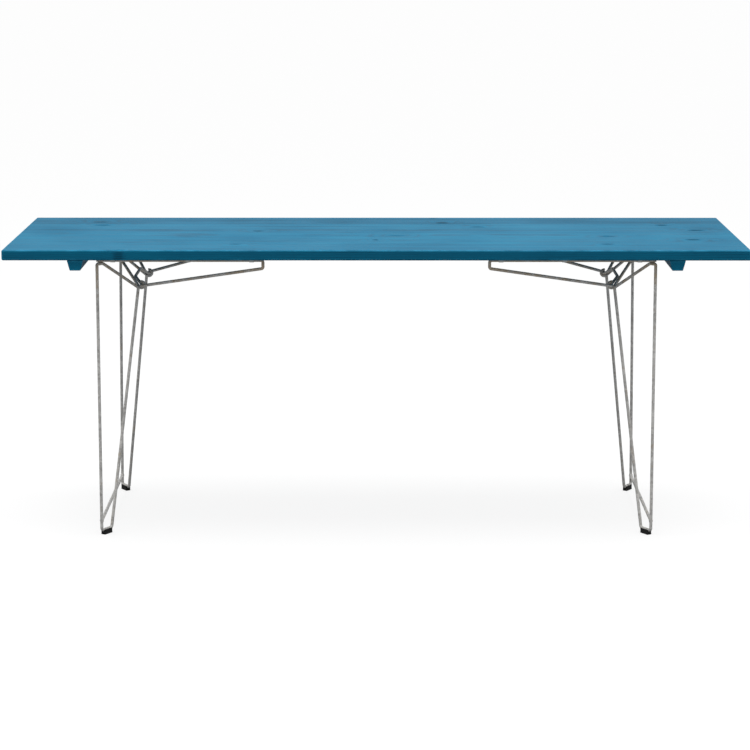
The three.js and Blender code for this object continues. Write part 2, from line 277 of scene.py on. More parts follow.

    # Eased edges a little pale, partly rubbed by handling and partly a painted highlight: only there are
    # two faces of the block near at once
    from_middle = add(tree, "ShaderNodeVectorMath", {0: place, 1: (low + high) / 2}, operation="SUBTRACT")
    to_face = add(tree, "ShaderNodeVectorMath", {0: from_middle}, operation="ABSOLUTE")
    half = (high - low) / 2
    near_face = add(tree, "ShaderNodeMapRange", {
        "Vector": to_face, 7: half - Vector((RUB_AND_HIGHLIGHT_REACH, RUB_AND_HIGHLIGHT_REACH, RUB_AND_HIGHLIGHT_REACH)), 8: half},
        data_type="FLOAT_VECTOR")
    faces_near = add(tree, "ShaderNodeVectorMath", {0: near_face.outputs["Vector"], 1: (1, 1, 1)},
                     operation="DOT_PRODUCT").outputs["Value"]
    edge = add(tree, "ShaderNodeMapRange", {"Value": faces_near, "From Min": 1.25, "From Max": 1.6})
    patchy = add(tree, "ShaderNodeTexNoise", {0: place, "Scale": 24.0, "Detail": 7.0})
    rub_and_highlight_share = add(tree, "ShaderNodeMapRange", {
        "Value": patchy, "From Min": 0.40, "From Max": 0.72, "To Min": 0.06, "To Max": 0.5})
    rub_and_highlight = add(tree, "ShaderNodeMath", {0: edge, 1: rub_and_highlight_share}, operation="MULTIPLY")
    # Pale edge colour: handling wear and a painted highlight along the arrises
    colour = add(tree, "ShaderNodeMix", {0: rub_and_highlight, 6: stain, 7: linear("2f92b8")},
                 data_type="RGBA")

    roughness = 0.36
    for share, figure in ((-0.05, late_wood), (0.20, cloud), (0.12, streak), (0.40, knot)):
        roughness = add(tree, "ShaderNodeMath", {0: figure, 1: share, 2: roughness},
                        operation="MULTIPLY_ADD")
    relief = 0.0
    for share, figure in ((0.5, late_wood), (0.8, fibre), (-0.6, knot)):
        relief = add(tree, "ShaderNodeMath", {0: figure, 1: share, 2: relief}, operation="MULTIPLY_ADD")
    raised = add(tree, "ShaderNodeBump", {"Height": relief, "Distance": 0.06 * MM, "Strength": 0.5})
    brush_place = add(tree, "ShaderNodeMapping", {0: grain_way, "Scale": (9.0, 420.0, 420.0)})
    brushing = add(tree, "ShaderNodeTexNoise", {0: brush_place, "Scale": 1.0, "Detail": 2.0})
    film = add(tree, "ShaderNodeBump", {
        "Height": brushing, "Distance": 0.05 * MM, "Strength": 0.35, "Normal": raised})
    surface = add(tree, "ShaderNodeBsdfPrincipled", {
        "Base Color": colour.outputs[2], "Roughness": roughness, "Normal": film, "IOR": 1.45,
        "Specular IOR Level": 0.14})
    add(tree, "ShaderNodeOutputMaterial", {0: surface})
    return material


def eased_block(name, corners, faces, easing):
    """A solid block from its corners and faces, its edges rounded, flats kept flat."""
    mesh = bpy.data.meshes.new(name)
    mesh.from_pydata(corners, [], faces)
    work = bmesh.new()
    work.from_mesh(mesh)
    bmesh.ops.recalc_face_normals(work, faces=work.faces)
    work.to_mesh(mesh)
    work.free()
    mesh.shade_smooth()
    block = bpy.data.objects.new(name, mesh)
    scene.collection.objects.link(block)
    rounding = block.modifiers.new("easing", "BEVEL")
    rounding.width = easing
    rounding.segments = 5
    rounding.limit_method = "ANGLE"
    block.modifiers.new("flat_faces", "WEIGHTED_NORMAL").keep_sharp = False
    return block


BLOCK_FACES = [(0, 1, 3, 2), (4, 6, 7, 5), (0, 4, 5, 1), (2, 3, 7, 6), (0, 2, 6, 4), (1, 5, 7, 3)]
board_low, board_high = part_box("table_top")
board_corners = [(x, y, z) for x in (board_low.x, board_high.x) for y in (board_low.y, board_high.y)
                 for z in (board_low.z, board_high.z)]
board = eased_block("blue_table_top", board_corners, BLOCK_FACES, BOARD_EASING)
board.data.materials.append(lacquered_softwood(
    "lacquered_spruce_top", board_low, board_high, 0.0, STAVE_WIDTH,
    branch_knots(board_low, board_high)))
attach(board, "board")
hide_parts("table_top")

# ---------------------------------------------------------------------------------------------
# Cleats
# A spruce batten across each end of the board, sides sawn to a slope, in the same stain and lacquer.
# It is screwed up into the board to keep it flat, and its edges are taken off with a plane.
# ---------------------------------------------------------------------------------------------
CLEAT_FOOT_WIDTH = 27 * MM
CLEAT_EASING = 1.6 * MM
CLEAT_STAVE = 0.5
# Each knot: how far in from the batten's middle line, place along it, radii and depth of tone
CLEAT_KNOTS = [(0.004, -0.285, 0.006, 0.009, 0.8), (-0.006, -0.120, 0.005, 0.008, 0.6),
               (0.005, 0.065, 0.007, 0.010, 0.8), (-0.004, 0.235, 0.005, 0.007, 0.6)]

for side in ("left", "right"):
    low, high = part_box(f"{side}_cleat")
    middle_x = (low.x + high.x) / 2
    cleat_corners = [
        (middle_x + sign * (CLEAT_FOOT_WIDTH if z == low.z else high.x - low.x) / 2, y, z)
        for sign in (-1, 1) for y in (low.y, high.y) for z in (low.z, high.z)]
    cleat = eased_block(f"{side}_blue_cleat", cleat_corners, BLOCK_FACES, CLEAT_EASING)
    cleat_knots = [(middle_x + inward, *rest) for inward, *rest in CLEAT_KNOTS]
    cleat.data.materials.append(lacquered_softwood(
        f"lacquered_spruce_{side}_cleat", low, high, math.pi / 2, CLEAT_STAVE, cleat_knots))
    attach(cleat, "board")
    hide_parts(f"{side}_cleat")

# ---------------------------------------------------------------------------------------------
# Bracket wires
# One 8 mm steel wire for each end, bent cold and hot-dip galvanised. It runs along the underside,
# drops, slopes back to a short hinge pin, crosses by a small bridge and returns the same way.
# ---------------------------------------------------------------------------------------------
WIRE_RADIUS = 4 * MM
WIRE_SIDES = 24
BEND_STEP = math.radians(7)
PIN_OUTER_Y = 130 * MM
PIN_INNER_Y = 100 * MM
BRIDGE_Y = 71 * MM
BRIDGE_BEYOND_PIN = 19 * MM
BRIDGE_ABOVE_PIN = 17.2 * MM
DROP_HEIGHT = 20.9 * MM
BRACKET_BENDS = [6 * MM, 6 * MM, 8 * MM, 8 * MM, 8 * MM]
CUT_END = 0.8 * MM
SPANGLE = 7 * MM


def galvanised_steel():
    """Hot-dip galvanised steel wire: a dull zinc skin with a crystal spangle and brown flux stains.

    Zinc gives the eye a pale grey metal, patchy from crystal to crystal and along the wire. It is
    browner towards the top, up under the board.
    """
    material, tree = new_material("galvanised_steel_wire")
    place = add(tree, "ShaderNodeTexCoord").outputs["Object"]
    warp = add(tree, "ShaderNodeTexNoise", {0: place, "Scale": 90.0, "Detail": 3.0})
    warped = add(tree, "ShaderNodeVectorMath", {
        0: warp.outputs["Color"], 1: (0.006, 0.006, 0.006), 2: place}, operation="MULTIPLY_ADD")
    spangle = add(tree, "ShaderNodeTexVoronoi", {0: warped, "Scale": 1 / SPANGLE})
    crystal = add(tree, "ShaderNodeSeparateColor", {0: spangle.outputs["Color"]})
    patch = add(tree, "ShaderNodeTexNoise", {0: place, "Scale": 22.0, "Detail": 6.0, "Roughness": 0.6})
    patch_share = add(tree, "ShaderNodeMath", {0: patch, 1: 0.75}, operation="MULTIPLY")
    level = add(tree, "ShaderNodeMath", {0: crystal, 1: 0.35, 2: patch_share},
                operation="MULTIPLY_ADD")
    zinc = add(tree, "ShaderNodeValToRGB", {0: level})
    zinc.color_ramp.elements[0].position, zinc.color_ramp.elements[0].color = 0.25, linear("a9a7a3")
    zinc.color_ramp.elements[1].position, zinc.color_ramp.elements[1].color = 0.85, linear("e4e2de")
    height = add(tree, "ShaderNodeSeparateXYZ", {0: place}).outputs["Z"]
    # Browner towards the top, up under the board, on top of the random brown patches
    up_high = add(tree, "ShaderNodeMapRange", {
        "Value": height, "From Min": 0.60, "From Max": 0.71, "To Min": 0.0, "To Max": 0.24})
    stain = add(tree, "ShaderNodeTexNoise", {0: place, "Scale": 48.0, "Detail": 5.0, "Roughness": 0.7})
    stain_or_high = add(tree, "ShaderNodeMath", {0: stain, 1: up_high}, operation="ADD")
    browned = add(tree, "ShaderNodeMapRange", {
        "Value": stain_or_high, "From Min": 0.56, "From Max": 0.76, "To Min": 0.0, "To Max": 0.85})
    colour = add(tree, "ShaderNodeMix", {0: browned, 6: zinc, 7: linear("b8a68c")},
                 data_type="RGBA")
    roughness = 0.32
    for share, figure in ((0.16, crystal.outputs[1]), (0.18, patch)):
        roughness = add(tree, "ShaderNodeMath", {0: figure, 1: share, 2: roughness},
                        operation="MULTIPLY_ADD")
    grit = add(tree, "ShaderNodeTexNoise", {0: place, "Scale": 900.0, "Detail": 3.0})
    relief = add(tree, "ShaderNodeMath", {0: crystal.outputs[2], 1: 0.5, 2: grit},
                 operation="MULTIPLY_ADD")
    skin = add(tree, "ShaderNodeBump", {"Height": relief, "Distance": 0.05 * MM, "Strength": 0.6})
    surface = add(tree, "ShaderNodeBsdfPrincipled", {
        "Base Color": colour.outputs[2], "Metallic": 0.3, "Roughness": roughness, "Normal": skin})
    add(tree, "ShaderNodeOutputMaterial", {0: surface})
    return material


def bent_wire_tree():
    """Sweeps a round section along the line that the mesh's edges draw."""
    tree = bpy.data.node_groups.new("bent_wire", "GeometryNodeTree")
    face = tree.interface
    face.new_socket("Line", in_out="INPUT", socket_type="NodeSocketGeometry")
    face.new_socket("Wire radius", in_out="INPUT", socket_type="NodeSocketFloat")
    face.new_socket("Sides", in_out="INPUT", socket_type="NodeSocketInt")
    face.new_socket("Finish", in_out="INPUT", socket_type="NodeSocketMaterial")
    face.new_socket("Wire", in_out="OUTPUT", socket_type="NodeSocketGeometry")
    given = add(tree, "NodeGroupInput")
    line = add(tree, "GeometryNodeMeshToCurve", {0: given.outputs["Line"]})
    section = add(tree, "GeometryNodeCurvePrimitiveCircle",
                  {"Resolution": given.outputs["Sides"], "Radius": given.outputs["Wire radius"]})
    taper = add(tree, "GeometryNodeInputNamedAttribute", {"Name": "taper"}, data_type="FLOAT")
    swept = add(tree, "GeometryNodeCurveToMesh", {
        0: line, 1: section, "Scale": taper, "Fill Caps": True})
    smooth = add(tree, "GeometryNodeSetShadeSmooth", {0: swept})
    whole = add(tree, "GeometryNodeRealizeInstances", {0: smooth})
    finished = add(tree, "GeometryNodeSetMaterial",
                   {0: whole, "Material": given.outputs["Finish"]})
    add(tree, "NodeGroupOutput", {0: finished})
    return tree


def grow(name, mesh, tree, inputs):
    """Runs a Geometry Nodes tree on a mesh and keeps the result as a plain mesh."""
    piece = bpy.data.objects.new(name, mesh)
    scene.collection.objects.link(piece)
    shaping = piece.modifiers.new("shaping", "NODES")
    shaping.node_group = tree
    for item in tree.interface.items_tree:
        if item.in_out == "INPUT" and item.name in inputs:
            shaping[item.identifier] = inputs[item.name]
    bpy.context.view_layer.update()
    shown = piece.evaluated_get(bpy.context.evaluated_depsgraph_get())
    solid = bpy.data.meshes.new_from_object(shown)
    piece.modifiers.clear()
    piece.data = solid
    return piece


def bent_line(corners, bend_radii, closed=False):
    """Straight runs between corners with a round bend at each; closed joins the last to the first."""
    count = len(corners)
    line = [] if closed else [corners[0]]
    turns = range(count) if closed else range(1, count - 1)
    for i, bend in zip(turns, bend_radii):
        corner = corners[i]
        arriving = (corner - corners[i - 1]).normalized()
        leaving = (corners[(i + 1) % count] - corner).normalized()
        turn = arriving.angle(leaving)
        start = corner - arriving * bend * math.tan(turn / 2)
        inward = (leaving - arriving * math.cos(turn)).normalized()
        steps = max(3, math.ceil(turn / BEND_STEP))
        for k in range(steps + 1):
            angle = turn * k / steps
            line.append(start + arriving * bend * math.sin(angle) + inward * bend * (1 - math.cos(angle)))
    return line if closed else [*line, corners[-1]]


def wire(name, line, body, node, closed=False):
    """One galvanised wire along a line, its cut ends taken down a little all round."""
    if not closed:
        into = (line[1] - line[0]).normalized() * CUT_END
        back = (line[-2] - line[-1]).normalized() * CUT_END
        line = [line[0], line[0] + into, *line[1:-1], line[-1] + back, line[-1]]
    edges = [(i, i + 1) for i in range(len(line) - 1)]
    if closed:
        edges.append((len(line) - 1, 0))
    mesh = bpy.data.meshes.new(name)
    mesh.from_pydata(line, edges, [])
    taper = [1.0] * len(line)
    if not closed:
        taper[0] = taper[-1] = 0.8
    mesh.attributes.new("taper", "FLOAT", "POINT").data.foreach_set("value", taper)
    piece = grow(name, mesh, wire_tree, {"Wire radius": WIRE_RADIUS, "Sides": WIRE_SIDES,
                                         "Finish": zinc_wire})
    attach(piece, body)
    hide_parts(node)


zinc_wire = galvanised_steel()
wire_tree = bent_wire_tree()
joints = {joint["child"]: joint for joint in frame["joints"]}
pins = {side: Vector(joints[f"{side}_leg"]["pos_m"]) for side in ("left", "right")}

for side, sign in (("left", -1), ("right", 1)):
    low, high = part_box(f"{side}_bracket_wire")
    rail_end_x = sign * max(abs(low.x), abs(high.x))
    drop_x = sign * (min(abs(low.x), abs(high.x)) + WIRE_RADIUS)
    rail_y = high.y - WIRE_RADIUS
    rail_z = high.z - WIRE_RADIUS
    pin = pins[side]

    def half_bracket(row):
        return [
            Vector((rail_end_x, row * rail_y, rail_z)),
            Vector((drop_x, row * rail_y, rail_z)),
            Vector((drop_x, row * rail_y, rail_z - DROP_HEIGHT)),
            Vector((pin.x, row * PIN_OUTER_Y, pin.z)),
            Vector((pin.x, row * PIN_INNER_Y, pin.z)),
            Vector((pin.x + sign * BRIDGE_BEYOND_PIN, row * BRIDGE_Y, pin.z + BRIDGE_ABOVE_PIN)),
        ]

    wire(f"{side}_bracket",
         bent_line(half_bracket(-1) + half_bracket(1)[::-1], BRACKET_BENDS + BRACKET_BENDS[::-1]),
         "board", f"{side}_bracket_wire")

# ---------------------------------------------------------------------------------------------
# Leg frames
# Each corner has one wire bent into a tall triangle. Two cross bars and a V brace, all of the same
# wire, tie the front and rear triangles together, and the brace's ends curl round the hinge pins.
# ---------------------------------------------------------------------------------------------
SHOULDER_OUTER = (712.5 * MM, 293 * MM)
SHOULDER_INNER = (697.4 * MM, 290 * MM)
KNEE_FROM_PIN = (6.8 * MM, -5.5 * MM)
KNEE_Y = 119.5 * MM
FOOT_OUTER = (717 * MM, 266 * MM)
FOOT_INNER = (695 * MM, 231 * MM)
LEG_BENDS = [7 * MM, 5 * MM, 5 * MM, 7 * MM, 7 * MM]
BRACE_APEX = (702 * MM, 722.5 * MM)
BRACE_BEND = 12 * MM
EYE_RADIUS = 8.3 * MM
EYE_Y = 107 * MM
EYE_DRIFT = 2.5 * MM
EYE_END = 1.75

for side, sign in (("left", -1), ("right", 1)):
    body = f"{side}_leg"
    pin = pins[side]
    low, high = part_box(f"{side}_front_leg")
    foot_z = low.z + WIRE_RADIUS
    shoulder_z = high.z - WIRE_RADIUS
    for row_name, row in (("front", -1), ("rear", 1)):
        triangle = [
            Vector((sign * FOOT_OUTER[0], row * FOOT_OUTER[1], foot_z)),
            Vector((sign * SHOULDER_OUTER[0], row * SHOULDER_OUTER[1], shoulder_z)),
            Vector((sign * SHOULDER_INNER[0], row * SHOULDER_INNER[1], shoulder_z)),
            Vector((pin.x + sign * KNEE_FROM_PIN[0], row * KNEE_Y, pin.z + KNEE_FROM_PIN[1])),
            Vector((sign * FOOT_INNER[0], row * FOOT_INNER[1], foot_z)),
        ]
        wire(f"{side}_{row_name}_leg_wire", bent_line(triangle, LEG_BENDS, closed=True),
             body, f"{side}_{row_name}_leg", closed=True)

    for bar in ("top_bar", "foot_bar"):
        low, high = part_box(f"{side}_{bar}")
        middle_x, middle_z = (low.x + high.x) / 2, (low.z + high.z) / 2
        bar_line = [Vector((middle_x, y, middle_z)) for y in (low.y, high.y)]
        wire(f"{side}_{bar}_wire", bar_line, body, f"{side}_{bar}")

    out, up = BRACE_APEX[0] - abs(pin.x), BRACE_APEX[1] - pin.z
    start = math.atan2(up, -out) + math.acos(EYE_RADIUS / math.hypot(out, up)) - 2 * math.pi
    eye_steps = math.ceil((EYE_END - start) / BEND_STEP)

    def eye(row):
        """Round the pin from its outer side, underneath, up the inner side and over the top."""
        line = []
        for k in range(eye_steps + 1):
            share = k / eye_steps
            angle = start + (EYE_END - start) * share
            line.append(Vector((
                pin.x - sign * EYE_RADIUS * math.cos(angle),
                row * (EYE_Y + EYE_DRIFT * (1 - (1 - share) ** 2)),
                pin.z + EYE_RADIUS * math.sin(angle))))
        return line

    front_eye, rear_eye = eye(-1)[::-1], eye(1)
    apex = Vector((sign * BRACE_APEX[0], 0, BRACE_APEX[1]))
    arms = bent_line([front_eye[-1], apex, rear_eye[0]], [BRACE_BEND])
    wire(f"{side}_v_brace", front_eye[:-1] + arms + rear_eye[1:], body, f"{side}_brace")

# ---------------------------------------------------------------------------------------------
# Foot pads
# A black polypropylene channel snapped over the flat of each foot, moulded with side ribs to
# grip by and two lips that close over the wire.
# ---------------------------------------------------------------------------------------------
PAD_LENGTH = 31 * MM
PAD_HALF = 7 * MM
PAD_HEIGHT = 13.5 * MM
SLOT_RADIUS = 4.25 * MM
LIP_GAP = 3.95 * MM
PAD_SECTIONS = 41
PAD_RIBS = 5
RIBBED_SHARE = 0.64
RIB_HEIGHT = 0.45 * MM
RIB_FOOT = 3.2 * MM
RIB_TOP = 3.0 * MM
RIB_END = 1.9 * MM
PAD_ROUNDING = 1.4 * MM
END_DRAFT = 0.55
LIP_OUTER = 1.1 * MM
LIP_INNER = 0.7 * MM


def moulded_polypropylene():
    """Injection-moulded black polypropylene: near black, satin, with a fine spark-eroded texture.

    The eye gets soft broad highlights, and pale scuffs low down.
    """
    material, tree = new_material("moulded_black_polypropylene")
    place = add(tree, "ShaderNodeTexCoord").outputs["Object"]
    height = add(tree, "ShaderNodeSeparateXYZ", {0: place}).outputs["Z"]
    cloud = add(tree, "ShaderNodeTexNoise", {0: place, "Scale": 160.0, "Detail": 5.0})
    scuff = add(tree, "ShaderNodeTexNoise", {0: place, "Scale": 420.0, "Detail": 6.0, "Roughness": 0.7})
    low_down = add(tree, "ShaderNodeMapRange", {"Value": height, "From Min": 2.5 * MM, "From Max": 0.0})
    scuffed = add(tree, "ShaderNodeMapRange", {
        "Value": scuff, "From Min": 0.52, "From Max": 0.68, "To Max": 0.5})
    wear = add(tree, "ShaderNodeMath", {0: low_down, 1: scuffed}, operation="MULTIPLY")
    black = add(tree, "ShaderNodeMix", {0: cloud, 6: linear("080808"), 7: linear("191918")},
                data_type="RGBA")
    colour = add(tree, "ShaderNodeMix", {0: wear, 6: black.outputs[2], 7: linear("53514d")},
                 data_type="RGBA")
    roughness = add(tree, "ShaderNodeMath", {0: cloud, 1: 0.2, 2: 0.46}, operation="MULTIPLY_ADD")
    grain = add(tree, "ShaderNodeTexVoronoi", {0: place, "Scale": 2400.0}, feature="SMOOTH_F1")
    texture = add(tree, "ShaderNodeBump", {"Height": grain, "Distance": 0.04 * MM, "Strength": 0.5})
    surface = add(tree, "ShaderNodeBsdfPrincipled", {
        "Base Color": colour.outputs[2], "Roughness": roughness, "IOR": 1.49,
        "Specular IOR Level": 0.35, "Normal": texture})
    add(tree, "ShaderNodeOutputMaterial", {0: surface})
    return material


def arc(centre_u, centre_v, radius, start, end, steps):
    """Points of a circle's arc, angles in degrees."""
    turn = [math.radians(start + (end - start) * k / steps) for k in range(steps + 1)]
    return [(centre_u + radius * math.cos(a), centre_v + radius * math.sin(a)) for a in turn]


def pad_outline(slot_height, swell, shrink):
    """The channel's section: rounded sole, straight sides, in-turned lips and a round seat."""
    half = PAD_HALF - shrink
    sole = shrink
    top = PAD_HEIGHT - shrink
    side = half + swell
    right = (arc(half - PAD_ROUNDING, sole + PAD_ROUNDING, PAD_ROUNDING, -90, 0, 5)
             + [(side, sole + RIB_FOOT), (side, top - RIB_TOP), (half, top - RIB_END)]
             + arc(half - LIP_OUTER, top - LIP_OUTER, LIP_OUTER, 0, 90, 4)
             + arc(LIP_GAP + LIP_INNER, top - LIP_INNER, LIP_INNER, 90, 180, 4))
    seat = arc(0, slot_height, SLOT_RADIUS, 8, -188, 22)
    left = [(-u, v) for u, v in right[::-1]]
    return right + seat + left


black_moulding = moulded_polypropylene()
for side, sign in (("left", -1), ("right", 1)):
    for row_name, row in (("front", -1), ("rear", 1)):
        node = f"{side}_{row_name}_foot_pad"
        low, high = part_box(node)
        wire_low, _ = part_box(f"{side}_{row_name}_leg")
        middle = (low + high) / 2
        along = Vector((sign * (FOOT_OUTER[0] - FOOT_INNER[0]), row * (FOOT_OUTER[1] - FOOT_INNER[1]), 0))
        along.normalize()
        beside = Vector((along.y, -along.x, 0))
        work = bmesh.new()
        rings = []
        for i in range(PAD_SECTIONS):
            share = i / (PAD_SECTIONS - 1)
            from_end = min(share, 1 - share) * PAD_LENGTH
            ease = max(0.0, 1 - from_end / PAD_ROUNDING)
            shrink = PAD_ROUNDING * END_DRAFT * (1 - math.sqrt(max(0.0, 1 - ease ** 2)))
            wave = math.cos(2 * math.pi * PAD_RIBS * (share - 0.5) / RIBBED_SHARE)
            ribbed = abs(share - 0.5) < RIBBED_SHARE / 2
            swell = RIB_HEIGHT * (0.5 + 0.5 * wave) if ribbed else 0.0
            origin = Vector((middle.x, middle.y, 0)) + along * (share - 0.5) * PAD_LENGTH
            outline = pad_outline(wire_low.z + WIRE_RADIUS, swell - RIB_HEIGHT, shrink)
            rings.append([work.verts.new(origin + beside * u + Vector((0, 0, v))) for u, v in outline])
        for near, far in zip(rings, rings[1:]):
            for k in range(len(near)):
                j = (k + 1) % len(near)
                work.faces.new((near[k], near[j], far[j], far[k]))
        work.faces.new(rings[0])
        work.faces.new(rings[-1][::-1])
        bmesh.ops.recalc_face_normals(work, faces=work.faces)
        mesh = bpy.data.meshes.new(f"{node}_moulding")
        work.to_mesh(mesh)
        work.free()
        mesh.shade_smooth()
        mesh.set_sharp_from_angle(angle=math.radians(50))
        mesh.materials.append(black_moulding)
        pad = bpy.data.objects.new(f"{node}_moulding", mesh)
        scene.collection.objects.link(pad)
        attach(pad, f"{side}_leg")
        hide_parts(node)

# ---------------------------------------------------------------------------------------------
# Weld beads
# Each cross bar is butt-welded to the leg wires and the brace's apex is welded to the top bar.
# The beads are small rippled rolls of weld metal, galvanised over with the wires.
# ---------------------------------------------------------------------------------------------
BEAD_RADIUS = 1.15 * MM
BEAD_RIPPLES = 14
BEAD_AROUND = 72
BEAD_SECTION = 14
BEAD_STANDOFF = 0.1 * MM
RIPPLE_DEPTH = 0.13
SADDLE_SHARE = 0.62
APEX_BEAD_LENGTH = 15 * MM
APEX_BEAD_RADIUS = 1.9 * MM
APEX_BEAD_ABOVE = 1.6 * MM
APEX_BEAD_BELOW = 2.2 * MM
LAP_STEPS = 40
LAP_RIPPLES = 9
LAP_RIPPLE_DEPTH = 0.10
LAP_END_SHARE = 1e-4

rough = random.Random(11)


def add_torus(work, ring_point, count, section):
    """A closed roll of weld metal: ring_point gives the centre and radius at each step round."""
    rings = []
    for i in range(count):
        centre, outward, lift, radius = ring_point(i)
        rings.append([work.verts.new(
            centre + outward * radius * math.cos(2 * math.pi * k / section)
            + lift * radius * math.sin(2 * math.pi * k / section)) for k in range(section)])
    for i in range(count):
        near, far = rings[i], rings[(i + 1) % count]
        for k in range(section):
            j = (k + 1) % section
            work.faces.new((near[k], near[j], far[j], far[k]))


def butt_weld(work, contact, axis, cross):
    """A roll round the end of a bar that meets a wire running along cross."""
    other = axis.cross(cross).normalized()
    uneven = [rough.uniform(-0.12, 0.12) for _ in range(BEAD_AROUND)]

    def ring_point(i):
        angle = 2 * math.pi * i / BEAD_AROUND
        outward = other * math.cos(angle) + cross * math.sin(angle)
        saddle = WIRE_RADIUS * (1 - abs(math.sin(angle)))
        ripple = 1 + RIPPLE_DEPTH * math.cos(BEAD_RIPPLES * angle) + uneven[i] / 2
        centre = contact + outward * (WIRE_RADIUS + BEAD_STANDOFF) + axis * (saddle * SADDLE_SHARE)
        return centre, outward, axis, BEAD_RADIUS * ripple

    add_torus(work, ring_point, BEAD_AROUND, BEAD_SECTION)


def lap_weld(work, centre, along, length, radius):
    """A rippled roll with rounded ends, laid in the groove between two wires side by side."""
    side_way = along.orthogonal().normalized()
    other = along.cross(side_way).normalized()
    rings = []
    for i in range(LAP_STEPS + 1):
        share = i / LAP_STEPS
        end = math.sqrt(max(LAP_END_SHARE, 1 - (2 * share - 1) ** 4))
        ripple = LAP_RIPPLE_DEPTH * math.cos(2 * math.pi * LAP_RIPPLES * share)
        size = radius * end * (1 + ripple + rough.uniform(-0.04, 0.04))
        at = centre + along * (share - 0.5) * length
        rings.append([work.verts.new(at + side_way * size * math.cos(2 * math.pi * k / BEAD_SECTION)
                                     + other * size * math.sin(2 * math.pi * k / BEAD_SECTION))
                      for k in range(BEAD_SECTION)])
    for near, far in zip(rings, rings[1:]):
        for k in range(BEAD_SECTION):
            j = (k + 1) % BEAD_SECTION
            work.faces.new((near[k], near[j], far[j], far[k]))
    work.faces.new(rings[0])
    work.faces.new(rings[-1][::-1])


for side, sign in (("left", -1), ("right", 1)):
    work = bmesh.new()
    for bar in ("top_bar", "foot_bar"):
        low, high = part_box(f"{side}_{bar}")
        middle_x, middle_z = (low.x + high.x) / 2, (low.z + high.z) / 2
        for row, end_y in ((-1, low.y), (1, high.y)):
            cross = Vector((1, 0, 0)) if bar == "top_bar" else Vector((0, 0, 1))
            butt_weld(work, Vector((middle_x, end_y, middle_z)), Vector((0, row, 0)), cross)
    top_low, top_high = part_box(f"{side}_top_bar")
    brace_low, brace_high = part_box(f"{side}_brace")
    top_x = (top_low.x + top_high.x) / 2
    brace_x = sign * max(abs(brace_low.x), abs(brace_high.x)) - sign * WIRE_RADIUS
    top_z = (top_low.z + top_high.z) / 2
    brace_z = brace_high.z - WIRE_RADIUS
    between = Vector(((top_x + brace_x) / 2, 0, (top_z + brace_z) / 2))
    for height in (APEX_BEAD_ABOVE, -APEX_BEAD_BELOW):
        lap_weld(work, between + Vector((0, 0, height)), Vector((0, 1, 0)),
                 APEX_BEAD_LENGTH, APEX_BEAD_RADIUS)
    bmesh.ops.recalc_face_normals(work, faces=work.faces)
    mesh = bpy.data.meshes.new(f"{side}_weld_beads")
    work.to_mesh(mesh)
    work.free()
    mesh.shade_smooth()
    mesh.materials.append(zinc_wire)
    beads = bpy.data.objects.new(f"{side}_weld_beads", mesh)
    scene.collection.objects.link(beads)
    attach(beads, f"{side}_leg")

# ---------------------------------------------------------------------------------------------
# Rail clips
# A strap of 1 mm zinc-plated steel bent round the rail, its ear flat against the board and its
# end cut round. Three hold each rail, all with their ears towards the middle, out of sight.
# ---------------------------------------------------------------------------------------------
STRAP = 1 * MM
STRAP_HALF_WIDTH = 6 * MM
STRAP_EAR = 22 * MM
STRAP_PLAY = 0.1 * MM
STRAP_CORNER = 1.4 * MM
EAR_STEPS = 12
EAR_TIP_SHARE = 0.22


def zinc_plate():
    """Bright zinc plating on pressed steel: pale, a little blue, with soft drawing lines and
    a faint yellow bloom, so the eye gets a cleaner and shinier metal than the wires."""
    material, tree = new_material("bright_zinc_plate")
    place = add(tree, "ShaderNodeTexCoord").outputs["Object"]
    bloom = add(tree, "ShaderNodeTexNoise", {0: place, "Scale": 130.0, "Detail": 4.0})
    colour = add(tree, "ShaderNodeMix", {0: bloom, 6: linear("b9c0c6"), 7: linear("cfcab6")},
                 data_type="RGBA")
    line_place = add(tree, "ShaderNodeMapping", {0: place, "Scale": (3000.0, 150.0, 150.0)})
    lines = add(tree, "ShaderNodeTexNoise", {0: line_place, "Scale": 1.0, "Detail": 2.0})
    roughness = add(tree, "ShaderNodeMath", {0: bloom, 1: 0.2, 2: 0.22}, operation="MULTIPLY_ADD")
    relief = add(tree, "ShaderNodeBump", {"Height": lines, "Distance": 0.02 * MM, "Strength": 0.4})
    surface = add(tree, "ShaderNodeBsdfPrincipled", {
        "Base Color": colour.outputs[2], "Metallic": 1.0, "Roughness": roughness, "Normal": relief})
    add(tree, "ShaderNodeOutputMaterial", {0: surface})
    return material


